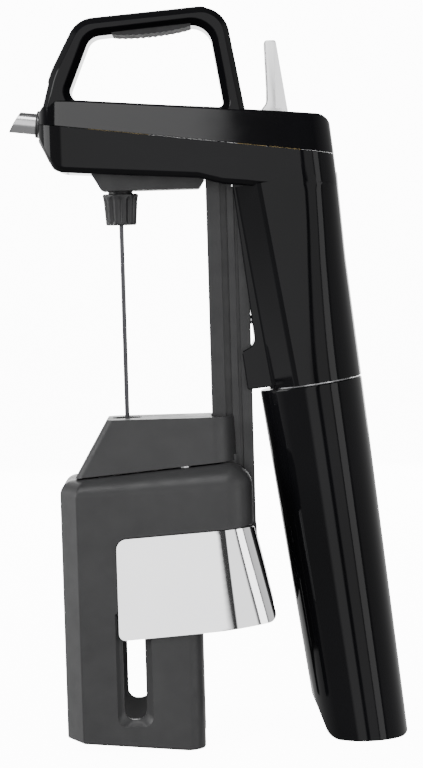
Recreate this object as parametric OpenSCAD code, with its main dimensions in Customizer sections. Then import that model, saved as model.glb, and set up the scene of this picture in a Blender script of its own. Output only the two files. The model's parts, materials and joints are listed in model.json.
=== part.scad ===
// Hand-held pourer for corked bottles: a hollow needle goes through the cork, a gas
// capsule in the handle pushes wine up the needle and out of the spout.
// Side outlines are drawn in X and Z with the needle on X = 0 and the table on Z = 0,
// and place() then moves everything so that the device is centred on the origin.

/* [Arm] */
// Place of the needle in front of the middle of the device
needle_x = -27.5; // [-30:0.5:-25]
// Half the width of the arm at its ridge
arm_half = 14.5; // [14:0.5:16]
// Half the width of the finger loop
loop_half = 9.5; // [9:0.25:10]
// Wall of the moulded shells
wall = 2.4; // [2:0.1:2.6]
// Fall of the ridge towards the back, in degrees
ridge_fall = 7.1; // [6.8:0.1:7.4]

/* [Handle] */
// Lean of the handle, in degrees
handle_lean = 7; // [6.5:0.1:7.5]
// Radius of the capsule cup at the seam
cup_top_r = 17.1; // [16.8:0.1:17.3]
// Radius of the capsule cup at the table
cup_foot_r = 14.9; // [14.5:0.1:15.5]
// Radius of the bore in the upper handle
handle_bore_r = 13.6; // [13.5:0.1:13.8]
// Radius of the gas capsule
capsule_r = 10; // [9:0.5:10]
// Gap at the seam between cup and handle
seam_gap = 0.3; // [0.2:0.1:0.5]

/* [Needle] */
// Radius of the needle
needle_r = 0.75; // [0.6:0.05:0.8]
// Height of the needle's tip
needle_tip = 94; // [93.5:0.5:97]
// Height of the underside of the needle nut
nut_foot = 172.5; // [172:0.5:174]
// Radius of the needle nut at its top
nut_r = 6; // [5.5:0.25:6.5]
// Number of flutes on the needle nut
nut_flutes = 12; // [10:1:14]

/* [Clamp] */
// Half the width of the clamp across its jaws
clamp_half = 21.5; // [21:0.25:22]
// Wall of a jaw
jaw_wall = 3; // [2.5:0.25:3]
// Radius of the bottle neck that the pads hold
neck_r = 14.75; // [14.5:0.05:15]
// Half the width of the slide rail
rail_half = 6; // [5.8:0.1:6]
// Radius of the jaw hinge pins
jaw_pin_r = 2; // [1.9:0.05:2.1]
// Width of the window slot in each jaw
window_w = 7.1; // [6:0.1:8]

/* [Spout] */
// Radius of the spout tube
spout_r = 3.5; // [3:0.1:3.6]
// Bore radius of the spout tube
spout_bore_r = 2.7; // [2.4:0.1:2.8]

/* [Hidden] */
$fn = 48;

black = [0.05, 0.05, 0.06];
graphite = [0.20, 0.20, 0.21];
grip_grey = [0.13, 0.13, 0.14];
silver = [0.78, 0.78, 0.80];
mirror_silver = [0.90, 0.90, 0.92];
brass = [0.78, 0.62, 0.32];
rubber = [0.10, 0.10, 0.10];
clear_tube = [0.80, 0.82, 0.80];

far = 200;          // long enough to pass through everything
hair = 0.1;         // clearance between pieces that are fixed to each other
play = 0.3;         // clearance between pieces that move past each other
run = 0.05;         // running clearance of a pin in its bore
fit = 0.02;         // clearance of a piece that sits tight in its seat

ridge_start = [-24.8, 205.9];
arm_floor_start = [-16.7, 190];
arm_floor_slope = -0.068;
seam_centre = [61.5, 118.7];
spout_pass = [-26.2, 206.6];
spout_rise = 7;
trigger_pivot = [53, 202.5];
trigger_pin_r = 1.5;
trigger_half = 4;
spout_root_r = 3.2;
ferrule_r = spout_r + 1.2;
ferrule_foot = -4;
ferrule_face = 1;
tube_r = 2;
tube_seat_r = tube_r + hair;
tube_bore_r = 1;
wine_tube_r = 2.5;
stem_x = 45;
stem_r = 2;
stem_foot = 192.6;
stem_head_r = 3.4;
stem_head_top = 203.5;
stem_head_h = 1.4;
valve_foot = 188.1;
valve_front = 39.2;
valve_back = 60;
valve_top = 198;
gas_line_z = 195;
needle_top = 194;
nut_top = 182.9;
nut_neck_r = 3;
needle_room_r = nut_neck_r + play;
seal_h = 1.4;
block_half = 8.5;
block_foot = 183.8;
grip_long = 24;
grip_half = 7.5;
grip_depth = 1.1;
spine_depth = 1.5;
screw_x = [-14, 34];
screw_y = 8.8;
screw_r = 1.5;
screw_head_r = 2.8;
screw_room_r = screw_head_r + hair;
housing_screw_h = 14;
post_r = 2.8;
rail_screw_z = [122, 140];
rail_front = 28.3;
rail_back = 41.9;
rail_foot = 72;
rail_top = 184.1;
rail_lip_x = 36.9;
groove_x = 34;
groove_w = 2.2;
groove_depth = 1.4;
line_x = 37.4;
line_w = 1;
line_depth = 0.6;
stop_h = 4;
carriage_foot = 72.5;
carriage_back = 35.9;
carriage_h = 24;
channel_half = 9.5;
head_top = 108.5;
bush_r = 3.5;
bush_foot = 92;
bush_flange_r = 4.8;
bush_flange_z = 107.4;
slide_pad_foot = 76;
slide_pad_h = 14;
slide_pad_half = 4;
slide_pad_t = 0.8;
jaw_pin_x = 19;
jaw_pin_y = 11.5;
jaw_pin_top = 96;
jaw_pin_foot = 56;
jaw_lug_r = 3.8;
jaw_lug_foot = 62;
jaw_spring_r = 2.9;
jaw_spring_h = 5;
jaw_front = -22.4;
leg_back = 23.2;
band_back = 41;
jaw_split = 0.4;
band_edge = 71.9;
pad_foot = 40;
pad_top = 84;
paddle_proud = 0.8;
paddle_thick = 2;
window_x = 0.5;
window_foot = 10.7;
window_h = 36;
collar_depth = 14;
collar_r = 13.5;
collar_top = 12;
collar_seat = -5;
regulator_r = 13.2;
regulator_foot = 12.2;
regulator_h = 27.8;
piston_r = 8.9;
regulator_bore_r = 9;
regulator_top = 45;
capsule_foot = -100;
cushion_h = 3;
cup_bore_r = 11.4;
cup_low = -130;
cup_floor = -113;

// ---- outlines -------------------------------------------------------------------

// A unit vector along v
function unit(v) = v / norm(v);

// The arc of radius r that rounds corner b between a and c
function corner(a, b, c, r, steps) =
    r <= 0 ? [b] :
    let (
        u = unit(a - b),
        w = unit(c - b),
        half = acos(max(-1, min(1, u * w))) / 2,
        middle = b + unit(u + w) * r / sin(half),
        from = b + u * r / tan(half) - middle,
        to = b + w * r / tan(half) - middle,
        start = atan2(from[1], from[0]),
        turn = atan2(to[1], to[0]) - start,
        sweep = turn > 180 ? turn - 360 : turn < -180 ? turn + 360 : turn
    )
    [for (i = [0:steps]) middle + r * [cos(start + sweep * i / steps), sin(start + sweep * i / steps)]];

// An outline of [x, z, radius] corners as plain points
function rounded(points, steps = 6) =
    let (n = len(points))
    [for (i = [0:n - 1])
        let (a = points[(i + n - 1) % n], b = points[i], c = points[(i + 1) % n])
        each corner([a[0], a[1]], [b[0], b[1]], [c[0], c[1]], b[2], steps)];

function ridge_z(x) = ridge_start[1] - (x - ridge_start[0]) * tan(ridge_fall);
function arm_floor_z(x) = arm_floor_start[1] + (x - arm_floor_start[0]) * arm_floor_slope;
function cavity_floor_z(x) = 193.2 - (x + 20.8) * 0.0776;
function shoulder_z(x) = 90.2 + (x + 12) * 0.0854;

// Top of the shell: nose, finger loop, arm top and the back corner, down to the ridge
cover_outline = [
    [ridge_start[0], ridge_start[1], 0], [-26.2, 209, 1.5], [-22.3, 222.5, 30],
    [-14, 239.9, 9], [36, 243.6, 9.5], [42.2, 209.5, 2], [66, 207.5, 4.5],
    [70.3, 203.5, 4], [71.1, ridge_z(71.1), 0]
];
loop_hole = [
    [-18.1, 214.1, 4], [-10, 234.3, 5], [32.2, 237.7, 7], [36.3, 210.1, 1]
];
cover_cavity = [
    [-22.4, ridge_z(-22.4) - 1, 0], [-23, 208, 2], [-14, 211.4, 2], [64.6, 205, 3],
    [68.5, ridge_z(68.5) - 1, 0]
];
// Lower shell: the arm below the ridge
arm_outline = [
    [ridge_start[0], ridge_start[1], 0], [-26.8, 203, 1.5], [-22.6, arm_floor_z(-22.6), 6],
    [33.3, arm_floor_z(33.3), 0], [45, 183, 0], [48, 176, 0], [73.1, 176, 0],
    [71.1, ridge_z(71.1), 0]
];
arm_cavity = [
    [-22.4, ridge_z(-22.4) + 1, 0], [-24, 203, 1], [-20.8, 193.2, 3],
    [33.3, cavity_floor_z(33.3), 0], [44, 187, 0], [69.6, 187, 0],
    [68.6, ridge_z(68.6) + 1, 0]
];
// Upper handle with the flange that holds the rail
handle_outline = [
    [37.4, 183.2, 1.5], [43.2, 132.1, 0], [38.7, 129.8, 0.8], [40.3, 116.2, 0],
    [78.5, 120.7, 0], [74.9, 158.7, 0], [72.4, 182, 0], [71.8, 187.5, 0], [37, 187.5, 0]
];
head_outline = [
    [-6.6, head_top, 1.5], [carriage_back, head_top, 2], [carriage_back, shoulder_z(carriage_back), 0],
    [-17.4, shoulder_z(-17.4), 0]
];
jaw_outline = [
    [jaw_front, 3.5, 4], [-17, 3.1, 0], [12, 0, 0], [leg_back, 0, 5],
    [leg_back, band_edge, 0], [band_back, band_edge + 1.2, 3],
    [band_back, shoulder_z(band_back) - 0.5, 6], [jaw_front, shoulder_z(jaw_front) - 0.5, 9]
];
paddle_outline = [
    [-4.1, 36.9, 2], [32, 39.4, 40], [47.9, 41.4, 3], [41.1, 72.7, 1.5], [-4.1, 70, 3.3]
];
trigger_outline = [
    [47.4, 208.8, 0.8], [49.3, 213.5, 2], [48.9, 231.9, 1], [52.8, 231.9, 1],
    [56.1, 208.3, 0], [56.9, 202.5, 3.3], [53, 198.7, 3.3], [49.6, 201.6, 1], [49.4, 203.8, 0.4],
    [44, 203.8, 0.8], [44, 206.3, 0.8], [48, 206.6, 0]
];

// ---- helpers --------------------------------------------------------------------

module place() {
    translate([needle_x, 0, 0])
        children();
}

// A side outline as a slab of width w in Y, centred on y
module slab(points, w, y = 0) {
    translate([0, y + w / 2, 0])
        rotate([90, 0, 0])
            linear_extrude(w)
                polygon(rounded(points));
}

// A front outline (Y and height above the ridge) carried along the ridge
module along_ridge(points) {
    translate([ridge_start[0], 0, ridge_start[1]])
        rotate([0, ridge_fall, 0])
            translate([-far / 2, 0, 0])
                rotate([90, 0, 90])
                    linear_extrude(far)
                        polygon(points);
}

// The handle's own frame: height 0 on the seam, +Z up the handle
module on_handle() {
    translate([seam_centre[0], 0, seam_centre[1]])
        rotate([0, -handle_lean, 0])
            children();
}

module up_handle(z) {
    on_handle()
        translate([0, 0, z])
            children();
}

// The spout's own frame: +Z out of the spout
module on_spout() {
    translate([spout_pass[0], 0, spout_pass[1]])
        rotate([0, -90 + spout_rise, 0])
            children();
}

module both_sides() {
    for (side = [0, 1])
        mirror([0, side, 0])
            children();
}

// Round wire wound into an upright spring that stands on Z = 0
module coil_spring(coil_r, wire_r, height, turns) {
    sides = 8;
    per_turn = 14;
    rings = round(turns * per_turn);
    points = [
        for (i = [0:rings])
            let (a = 360 * i / per_turn, z = wire_r + (height - 2 * wire_r) * i / rings)
            for (k = [0:sides - 1])
                let (b = 360 * k / sides, r = coil_r + wire_r * cos(b))
                [r * cos(a), r * sin(a), z + wire_r * sin(b)]
    ];
    walls = [
        for (i = [0:rings - 1], k = [0:sides - 1])
            let (m = (k + 1) % sides, p = i * sides, q = p + sides)
            each [[p + k, q + k, q + m], [p + k, q + m, p + m]]
    ];
    first_cap = [for (k = [0:sides - 1]) k];
    last_cap = [for (k = [0:sides - 1]) rings * sides + sides - 1 - k];
    polyhedron(points = points, faces = concat([first_cap], walls, [last_cap]));
}

// Plan of the arm: straight sides with rounded nose and back
module arm_prism() {
    nose_x = -27.4;
    back_x = 73.3;
    half = arm_half + 0.5;
    nose_r = 8;
    back_r = 12;
    low_z = 170;
    translate([0, 0, low_z])
        linear_extrude(far)
            polygon(rounded([
                [nose_x, -half, nose_r], [back_x, -half, back_r], [back_x, half, back_r], [nose_x, half, nose_r]
            ]));
}

module screw_places() {
    for (x = screw_x, y = [-screw_y, screw_y])
        translate([x, y, arm_floor_z(x)])
            children();
}

// ---- upper shells ---------------------------------------------------------------

// The band along the front and top of the loop, down to depth below its surface
module spine_strip(depth) {
    spine_w = 11;
    spine_foot = 212.4;
    region = [
        [-40, spine_foot, 0], [-40, 260, 0], [34, 260, 0], [31, 238, 0], [-8, 236, 0],
        [-20, spine_foot, 0]
    ];
    intersection() {
        slab(region, spine_w);
        translate([0, spine_w / 2, 0])
            rotate([90, 0, 0])
                linear_extrude(spine_w)
                    difference() {
                        polygon(rounded(cover_outline));
                        offset(r = -depth)
                            polygon(rounded(cover_outline));
                    }
    }
}

// Posts under the cover that take the housing screws
module screw_posts() {
    post_foot = wall + 1.2;
    screw_places()
        translate([0, 0, post_foot])
            cylinder(r = post_r, h = 30);
}

// The underside of the loop's top bar, which rises towards the back
module grip_frame() {
    bar_z = 235.1;
    bar_rise = 4.66;
    translate([0, 0, bar_z])
        rotate([0, -bar_rise, 0])
            children();
}

module top_cover() {
    roof_rise = 11;
    slot_front = 45.2;
    slot_long = 12.4;
    slot_half = trigger_half + 0.6;
    slot_foot = 196;
    color(black)
        place()
            difference() {
                intersection() {
                    slab(cover_outline, 2 * arm_half);
                    arm_prism();
                    along_ridge([
                        [-arm_half, 0], [arm_half, 0], [loop_half, roof_rise], [loop_half, far],
                        [-loop_half, far], [-loop_half, roof_rise]
                    ]);
                }
                slab(loop_hole, 2 * arm_half);
                difference() {
                    intersection() {
                        slab(cover_cavity, 2 * arm_half);
                        along_ridge([
                            [wall - arm_half, -1], [arm_half - wall, -1],
                            [loop_half - wall, roof_rise], [wall - loop_half, roof_rise]
                        ]);
                    }
                    screw_posts();
                }
                screw_places()
                    cylinder(r = screw_r, h = housing_screw_h + 2);
                spine_strip(spine_depth + hair);
                grip_frame()
                    translate([0, -grip_half - hair, -1])
                        cube([grip_long, 2 * (grip_half + hair), grip_depth + 1 + hair]);
                ferrule_room();
                translate([slot_front, -slot_half, slot_foot])
                    cube([slot_long, 2 * slot_half, 20]);
            }
}

module loop_spine() {
    color(graphite)
        place()
            spine_strip(spine_depth);
}

module finger_grip() {
    rib_r = 0.8;
    rib_pitch = 2.4;
    rib_count = 10;
    proud = 0.4;
    color(grip_grey)
        place()
            grip_frame() {
                translate([hair, -grip_half, -proud])
                    cube([grip_long - 2 * hair, 2 * grip_half, grip_depth + proud]);
                for (i = [0:rib_count - 1])
                    translate([(i + 0.5) * rib_pitch, grip_half, -proud])
                        rotate([90, 0, 0])
                            cylinder(r = rib_r, h = 2 * grip_half);
            }
}

// The bore through both shells that holds the ferrule
module ferrule_room() {
    on_spout()
        translate([0, 0, -20])
            cylinder(r = ferrule_r + hair, h = 40);
}

// A thin slice across the handle: a circle with a narrow flat front
module handle_slice(r, shift, front, z) {
    slice_h = 0.1;
    flange_w = 15.4;
    up_handle(z)
        linear_extrude(slice_h)
            hull() {
                translate([shift, 0])
                    circle(r);
                translate([-front, 0])
                    square([1, flange_w], center = true);
            }
}

module main_housing() {
    side_drop = 11;
    belly_drop = 17;
    belly_half = arm_half - 3.5;
    top_slice = 72;
    seam_up = -4;
    head_sink = 1.3;
    color(black)
        place()
            difference() {
                union() {
                    intersection() {
                        slab(arm_outline, 2 * arm_half);
                        arm_prism();
                        along_ridge([
                            [-arm_half, 0], [-arm_half, -side_drop], [-belly_half, -belly_drop],
                            [-belly_half, -far], [belly_half, -far], [belly_half, -belly_drop],
                            [arm_half, -side_drop], [arm_half, 0]
                        ]);
                    }
                    intersection() {
                        slab(handle_outline, 2 * cup_top_r);
                        hull() {
                            handle_slice(cup_top_r, 0, 21, seam_up);
                            handle_slice(arm_half, 4.8, 20, top_slice);
                        }
                    }
                }
                slab(arm_cavity, 2 * (arm_half - wall));
                up_handle(seam_up - 1)
                    cylinder(r = handle_bore_r, h = top_slice - seam_up);
                up_handle(seam_up - 4)
                    cylinder(r = 60, h = 4 - seam_up);
                translate([20, -rail_half - hair, 100])
                    cube([rail_back + hair - 20, 2 * (rail_half + hair), rail_top + hair - 100]);
                ferrule_room();
                screw_places() {
                    cylinder(r = screw_r + hair, h = 3 * wall, center = true);
                    translate([0, 0, -1])
                        cylinder(r = screw_room_r, h = 1 + head_sink);
                }
                translate([0, 0, block_foot - 4])
                    cylinder(r = needle_room_r, h = 14);
                for (z = rail_screw_z)
                    translate([rail_back - 1, 0, z])
                        rotate([0, 90, 0])
                            cylinder(r = screw_r + hair, h = 3.6);
            }
}

module housing_screws() {
    color(silver)
        place()
            screw_places()
                translate([0, 0, hair]) {
                    cylinder(r = screw_r, h = housing_screw_h);
                    cylinder(r = screw_head_r, h = 1.1);
                }
}

// ---- wine path ------------------------------------------------------------------

// A spout tube with a thinner root in the nose and a slanted open end
module spout_tube() {
    root = -10;
    long = 24;
    beyond_cut = [[-31.2, 212.4, 0], [-37.4, 202.6, 0], [-60, 202, 0], [-60, 214, 0]];
    color(silver)
        place()
            difference() {
                on_spout() {
                    translate([0, 0, root])
                        cylinder(r = spout_root_r, h = long);
                    translate([0, 0, ferrule_face + play])
                        cylinder(r = spout_r, h = long + root - ferrule_face);
                }
                on_spout()
                    translate([0, 0, root - 1])
                        cylinder(r = spout_bore_r, h = long + 4);
                slab(beyond_cut, 20);
            }
}

module spout_ferrule() {
    color(graphite)
        place()
            on_spout()
                translate([0, 0, ferrule_foot])
                    difference() {
                        cylinder(r = ferrule_r, h = ferrule_face - ferrule_foot);
                        translate([0, 0, -1])
                            cylinder(r = spout_root_r + fit, h = 8);
                    }
}

// The short tube between the manifold and the root of the spout
module wine_tube() {
    tube_foot = -16.5;
    tube_long = 8;
    inner_r = 1.4;
    color(clear_tube)
        place()
            on_spout()
                translate([0, 0, tube_foot])
                    difference() {
                        cylinder(r = wine_tube_r, h = tube_long);
                        translate([0, 0, -1])
                            cylinder(r = inner_r, h = tube_long + 2);
                    }
}

// A length of gas tube that stands on Z = 0
module gas_line(long) {
    difference() {
        cylinder(r = tube_r, h = long);
        translate([0, 0, -1])
            cylinder(r = tube_bore_r, h = long + 2);
    }
}

// The block where gas goes in and wine comes out, above the needle
module manifold() {
    half = 10;
    thick = 12;
    needle_seat_r = 2.4;
    needle_seat_top = 195;
    bore_top = 204;
    low = 185;
    gas_seat_x = 4;
    color(brass)
        place()
            difference() {
                slab([
                    [-half, cavity_floor_z(-half), 0], [half, cavity_floor_z(half), 0],
                    [half, 206.5, 1], [-half, 208.5, 1]
                ], thick);
                translate([0, 0, low])
                    cylinder(r = needle_seat_r, h = needle_seat_top - low);
                translate([0, 0, low])
                    cylinder(r = tube_bore_r, h = bore_top - low);
                on_spout()
                    translate([0, 0, -26])
                        cylinder(r = wine_tube_r + hair, h = 12);
                translate([gas_seat_x, 0, gas_line_z])
                    rotate([0, 90, 0])
                        cylinder(r = tube_seat_r, h = 7);
                translate([0, 0, gas_line_z])
                    rotate([0, 90, 0])
                        cylinder(r = tube_bore_r, h = 7);
            }
}

module gas_tube() {
    from_x = 5;
    to_x = 41.6;
    color(clear_tube)
        place()
            translate([from_x, 0, gas_line_z])
                rotate([0, 90, 0])
                    gas_line(to_x - from_x);
}

module needle_block() {
    top_front = -9.2;
    top_back = 28.1;
    color(graphite)
        place()
            difference() {
                slab([
                    [top_front, arm_floor_z(top_front) - fit, 0], [-5.9, block_foot, 0.8],
                    [26.2, block_foot, 1], [top_back, arm_floor_z(top_back) - fit, 0]
                ], 2 * block_half);
                translate([0, 0, block_foot - 4])
                    cylinder(r = needle_room_r, h = 20);
            }
}

// The fluted nut that screws the needle into its block
module needle_nut() {
    taper = 0.85;
    washer_r = 4.1;
    washer_h = 0.6;
    neck_h = 4.6;
    flute_r = 0.9;
    flute_out = 0.4;
    color(graphite)
        place()
            difference() {
                union() {
                    translate([0, 0, nut_foot])
                        cylinder(r1 = nut_r - taper, r2 = nut_r, h = nut_top - nut_foot);
                    translate([0, 0, nut_top])
                        cylinder(r = washer_r, h = washer_h);
                    translate([0, 0, nut_top])
                        cylinder(r = nut_neck_r, h = neck_h);
                }
                translate([0, 0, nut_foot - 1])
                    cylinder(r = needle_r + fit / 2, h = 20);
                for (i = [0:nut_flutes - 1])
                    rotate([0, 0, i * 360 / nut_flutes])
                        translate([nut_r + flute_out, 0, nut_foot - 1])
                            cylinder(r = flute_r, h = nut_top - nut_foot);
            }
}

// A hollow needle with a closed, slanted tip
module needle() {
    solid_tip = 6;
    slant = 4;
    color(graphite)
        place()
            difference() {
                translate([0, 0, needle_tip])
                    cylinder(r = needle_r, h = needle_top - needle_tip);
                translate([0, 0, needle_tip + solid_tip])
                    cylinder(r = needle_r / 2, h = far);
                slab([
                    [-2, needle_tip - 1, 0], [2, needle_tip - 1, 0], [2, needle_tip + slant, 0],
                    [-needle_r, needle_tip, 0]
                ], slant);
            }
}

module needle_seal() {
    seal_r = 2.1;
    below_top = 2;
    color(rubber)
        place()
            translate([0, 0, needle_top - below_top])
                difference() {
                    cylinder(r = seal_r, h = seal_h);
                    translate([0, 0, -1])
                        cylinder(r = needle_r + fit / 2, h = seal_h + 2);
                }
}

// ---- trigger and valve ----------------------------------------------------------

module trigger() {
    color(silver)
        place()
            difference() {
                slab(trigger_outline, 2 * trigger_half);
                translate([trigger_pivot[0], far / 2, trigger_pivot[1]])
                    rotate([90, 0, 0])
                        cylinder(r = trigger_pin_r + run, h = far);
            }
}

module trigger_pin() {
    pin_half = 8;
    color(silver)
        place()
            translate([trigger_pivot[0], pin_half, trigger_pivot[1]])
                rotate([90, 0, 0])
                    cylinder(r = trigger_pin_r, h = 2 * pin_half);
}

// The valve block, with two ears that carry the trigger's pin
module valve_body() {
    thick = 16;
    step_x = 48.6;
    step_h = 2;
    ear_front = 49.5;
    ear_long = 7;
    ear_w = 3;
    ear_h = 11.4;
    bore_foot = 190.5;
    port_x = 38;
    color(brass)
        place()
            difference() {
                union() {
                    slab([
                        [valve_front, valve_foot, 0], [valve_back, valve_foot, 0],
                        [valve_back, valve_top - step_h, 0], [step_x, valve_top - step_h, 0],
                        [step_x, valve_top, 0], [valve_front, valve_top, 0]
                    ], thick);
                    both_sides()
                        translate([ear_front, trigger_half + 0.5, valve_top - 2 * step_h])
                            cube([ear_long, ear_w, ear_h]);
                }
                translate([stem_x, 0, bore_foot])
                    cylinder(r = stem_r + run, h = 20);
                translate([trigger_pivot[0], far / 2, trigger_pivot[1]])
                    rotate([90, 0, 0])
                        cylinder(r = trigger_pin_r, h = far);
                translate([port_x, 0, gas_line_z])
                    rotate([0, 90, 0])
                        cylinder(r = tube_bore_r, h = 6);
                translate([port_x, 0, gas_line_z])
                    rotate([0, 90, 0])
                        cylinder(r = tube_seat_r, h = 3.7);
                up_handle(60)
                    cylinder(r = tube_seat_r, h = 13.5);
            }
}

module valve_stem() {
    color(silver)
        place() {
            translate([stem_x, 0, stem_foot])
                cylinder(r = stem_r, h = stem_head_top - stem_foot);
            translate([stem_x, 0, stem_head_top - stem_head_h])
                cylinder(r = stem_head_r, h = stem_head_h);
        }
}

module valve_spring() {
    coil_r = 2.75;
    wire_r = 0.25;
    turns = 4;
    color(silver)
        place()
            translate([stem_x, 0, valve_top + hair])
                coil_spring(coil_r, wire_r, stem_head_top - stem_head_h - valve_top - 2 * hair, turns);
}

// ---- regulator ------------------------------------------------------------------

// The tube that carries gas from the regulator up to the valve
module gas_riser() {
    riser_long = 26.5;
    color(clear_tube)
        place()
            up_handle(regulator_top + hair)
                gas_line(riser_long);
}

module regulator_body() {
    floor_h = 8;
    port_r = 1.5;
    color(brass)
        place()
            up_handle(regulator_foot)
                difference() {
                    cylinder(r = regulator_r, h = regulator_h);
                    translate([0, 0, floor_h])
                        cylinder(r = regulator_bore_r, h = regulator_h);
                    translate([0, 0, -1])
                        cylinder(r = port_r, h = 20);
                }
}

module regulator_piston() {
    piston_foot = 21;
    piston_h = 4;
    floor_h = 1.5;
    inner_r = 7.6;
    color(silver)
        place()
            up_handle(piston_foot)
                difference() {
                    cylinder(r = piston_r, h = piston_h);
                    translate([0, 0, floor_h])
                        cylinder(r = inner_r, h = piston_h);
                }
}

module regulator_spring() {
    spring_foot = 22.6;
    spring_h = 13.2;
    coil_r = 6;
    wire_r = 0.7;
    turns = 4;
    color(silver)
        place()
            up_handle(spring_foot)
                coil_spring(coil_r, wire_r, spring_h, turns);
}

module regulator_cap() {
    plug_r = 8.8;
    plug_h = 4.1;
    lid_h = 4.9;
    color(brass)
        place()
            up_handle(regulator_top - plug_h - lid_h)
                difference() {
                    union() {
                        cylinder(r = plug_r, h = plug_h);
                        translate([0, 0, plug_h])
                            cylinder(r = regulator_r, h = lid_h);
                    }
                    translate([0, 0, -1])
                        cylinder(r = tube_bore_r, h = 12);
                }
}

// The hollow spike that opens the gas capsule
module piercing_pin() {
    spike_h = 3.4;
    base_h = 4;
    base_r = 2.9;
    bore_r = 0.4;
    color(silver)
        place()
            up_handle(-spike_h)
                difference() {
                    union() {
                        cylinder(r1 = 0.5, r2 = 1.2, h = spike_h);
                        translate([0, 0, spike_h])
                            cylinder(r = base_r, h = base_h);
                    }
                    translate([0, 0, 2])
                        cylinder(r = bore_r, h = 10);
                }
}

module capsule_seal() {
    seal_foot = -2.4;
    outer_r = 5.4;
    inner_r = 2.2;
    tall = 2.3;
    color(rubber)
        place()
            up_handle(seal_foot)
                difference() {
                    cylinder(r = outer_r, h = tall);
                    translate([0, 0, -1])
                        cylinder(r = inner_r, h = tall + 2);
                }
}

// The threaded collar under the regulator that the cup screws onto
module cup_collar() {
    thread_pitch = 2.5;
    thread_first = -3;
    thread_rings = 4;
    groove_floor = 12.8;
    capsule_room_r = 11;
    seal_room_r = 5.5;
    pin_room_r = 3;
    color(silver)
        place()
            difference() {
                up_handle(-collar_depth)
                    cylinder(r = collar_r, h = collar_depth + collar_top);
                up_handle(-collar_depth - 1)
                    cylinder(r = capsule_room_r, h = collar_depth + 1 + collar_seat);
                up_handle(collar_seat - 1)
                    cylinder(r = seal_room_r, h = 1 - collar_seat);
                up_handle(collar_seat - 1)
                    cylinder(r = pin_room_r, h = 20);
                for (i = [0:thread_rings - 1])
                    up_handle(thread_first - i * thread_pitch)
                        rotate_extrude()
                            polygon([[groove_floor, 0], [14, -0.9], [14, 0.9]]);
            }
}

// ---- gas capsule and cup --------------------------------------------------------

module gas_capsule() {
    mouth_z = -4.2;
    mouth_r = 3.4;
    neck_z = -9;
    color(silver)
        place()
            on_handle()
                rotate_extrude()
                    polygon(concat(
                        [[0, mouth_z], [mouth_r, mouth_z], [mouth_r, neck_z]],
                        rounded([
                            [3.6, -10.5, 2], [capsule_r, -21, 6], [capsule_r, capsule_foot, 6],
                            [0, capsule_foot, 0]
                        ])
                    ));
}

module cup_cushion() {
    color(rubber)
        place()
            up_handle(capsule_foot - cushion_h - play)
                cylinder(r = capsule_r, h = cushion_h);
}

// The screw-on cup: a slim cone with a slanted, rounded foot and ribs under the cushion
module capsule_cup() {
    cup_outline = [
        [40, 130, 0], [40, 60, 0], [60.9, 9.4, 0], [64.6, 1.2, 5], [72, 0, 8], [92.2, 0, 4],
        [100, 60, 0], [100, 130, 0]
    ];
    foot_level = -120;
    taper = (cup_top_r - cup_foot_r) / foot_level;
    socket_r = 13.8;
    rib_w = 2;
    color(black)
        place()
            difference() {
                intersection() {
                    up_handle(cup_low)
                        cylinder(
                            r1 = cup_foot_r - taper * (cup_low - foot_level),
                            r2 = cup_top_r,
                            h = -cup_low - seam_gap
                        );
                    slab(cup_outline, 60);
                }
                up_handle(-collar_depth - 1)
                    cylinder(r = socket_r, h = 20);
                difference() {
                    up_handle(cup_floor)
                        cylinder(r = cup_bore_r, h = 100);
                    for (a = [0, 90])
                        up_handle(cup_floor)
                            rotate([0, 0, a])
                                translate([-20, -rib_w / 2, 0])
                                    cube([40, rib_w, capsule_foot - cushion_h - play - hair - cup_floor]);
                }
            }
}

// ---- rail -----------------------------------------------------------------------

module slide_rail() {
    head_sink = 3.2;
    color(graphite)
        place()
            difference() {
                slab([
                    [rail_front, rail_foot, 0], [rail_back, rail_foot, 0], [rail_back, rail_top, 0],
                    [rail_lip_x, rail_top, 0], [rail_lip_x, rail_top + 1.1, 0],
                    [33.3, arm_floor_z(33.3), 0], [rail_front, arm_floor_z(rail_front), 0]
                ], 2 * rail_half);
                both_sides()
                    translate([groove_x - groove_w / 2, rail_half - groove_depth, rail_foot - 1])
                        cube([groove_w, 3, 130]);
                both_sides()
                    translate([line_x, rail_half - line_depth, rail_foot - 1])
                        cube([line_w, 3, 130]);
                for (z = rail_screw_z)
                    translate([rail_front - 1, 0, z])
                        rotate([0, 90, 0]) {
                            cylinder(r = screw_r + hair, h = 20);
                            cylinder(r = screw_room_r, h = head_sink);
                        }
            }
}

module rail_screws() {
    screw_long = 15.2;
    head_h = 1.5;
    color(silver)
        place()
            for (z = rail_screw_z)
                translate([rail_front + 0.6, 0, z])
                    rotate([0, 90, 0]) {
                        cylinder(r = screw_r, h = screw_long);
                        cylinder(r = screw_head_r, h = head_h);
                    }
}

module rail_end_stop() {
    color(graphite)
        place()
            translate([rail_front - 1, -rail_half - 1, rail_foot - stop_h])
                cube([rail_back - rail_front + 1.2, 2 * rail_half + 2, stop_h]);
}

// ---- clamp ----------------------------------------------------------------------

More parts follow.
